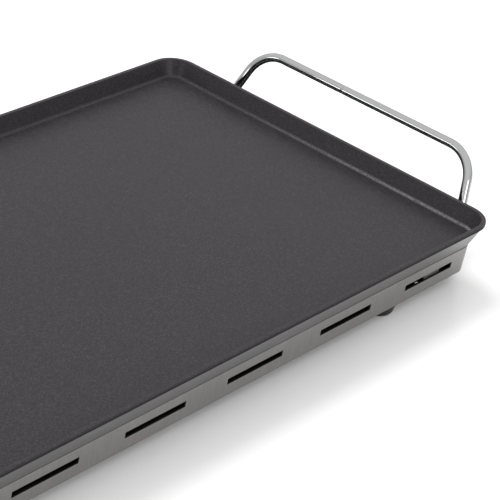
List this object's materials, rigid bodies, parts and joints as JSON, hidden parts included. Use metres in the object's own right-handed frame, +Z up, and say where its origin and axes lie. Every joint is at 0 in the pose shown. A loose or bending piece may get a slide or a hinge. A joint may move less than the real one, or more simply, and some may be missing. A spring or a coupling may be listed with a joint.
{
  "type": "electric griddle",
  "caption": "Low rectangular table-top griddle: a dark non-stick tray plate on a slotted metal housing, with chrome rod handles at both ends, rubber feet and a plug-in thermostat control.",
  "frame": {"origin": "on the resting plane, under the middle of the plate", "axes": "+X along the long side towards the end without the control, +Y towards the back, +Z up"},
  "size_m": [0.533, 0.26, 0.0557],
  "materials": {
    "coating": "satin",
    "housing": "satin",
    "galvanised": "satin",
    "painted": "satin",
    "chrome": "polished",
    "rubber": "matte",
    "screw": "satin",
    "sheath": "matte",
    "ceramic": "matte",
    "phenolic": "satin",
    "plastic": "satin",
    "brass": "satin",
    "lens": "gloss"
  },
  "bodies": {
    "griddle": {"griddle_plate": "coating", "heating_element": "sheath", "terminal_pin_front": "screw", "terminal_pin_rear": "screw", "terminal_bead_front": "ceramic", "terminal_bead_rear": "ceramic", "element_clamp_1": "galvanised", "element_clamp_2": "galvanised", "element_clamp_3": "galvanised", "element_clamp_4": "galvanised", "clamp_screw_1": "screw", "clamp_screw_2": "screw", "clamp_screw_3": "screw", "clamp_screw_4": "screw", "heat_reflector": "galvanised", "housing_frame": "housing", "bottom_cover": "painted", "socket_block": "phenolic", "foot_right_rear": "rubber", "foot_screw_right_rear": "screw", "support_post_right_rear": "galvanised", "cover_screw_right_rear": "screw", "foot_left_rear": "rubber", "foot_screw_left_rear": "screw", "support_post_left_rear": "galvanised", "cover_screw_left_rear": "screw", "foot_left_front": "rubber", "foot_screw_left_front": "screw", "support_post_left_front": "galvanised", "cover_screw_left_front": "screw", "foot_right_front": "rubber", "foot_screw_right_front": "screw", "support_post_right_front": "galvanised", "cover_screw_right_front": "screw", "handle_right": "chrome", "handle_nut_right_front": "screw", "handle_collar_right_front": "chrome", "handle_nut_right_rear": "screw", "handle_collar_right_rear": "chrome", "handle_left": "chrome", "handle_nut_left_front": "screw", "handle_collar_left_front": "chrome", "handle_nut_left_rear": "screw", "handle_collar_left_rear": "chrome"},
    "control": {"control_lower_shell": "plastic", "control_upper_shell": "plastic", "control_screw_front": "screw", "control_screw_rear": "screw", "contact_sleeve_front": "brass", "contact_sleeve_rear": "brass", "connector_nose": "phenolic", "probe": "screw", "thermostat_switch": "ceramic", "cord_gland": "rubber", "pilot_lens": "lens"},
    "dial": {"dial": "plastic", "dial_shaft": "screw"}
  },
  "joints": [
    {"name": "control_pull", "type": "slide", "parent": "griddle", "child": "control", "axis": [-1, 0, 0], "range_m": [0, 0.09]},
    {"name": "dial_turn", "type": "hinge", "parent": "control", "child": "dial", "pos_m": [-0.2526, 0, 0.0205], "axis": [1, 0, 0], "range_deg": [0, 270]}
  ]
}
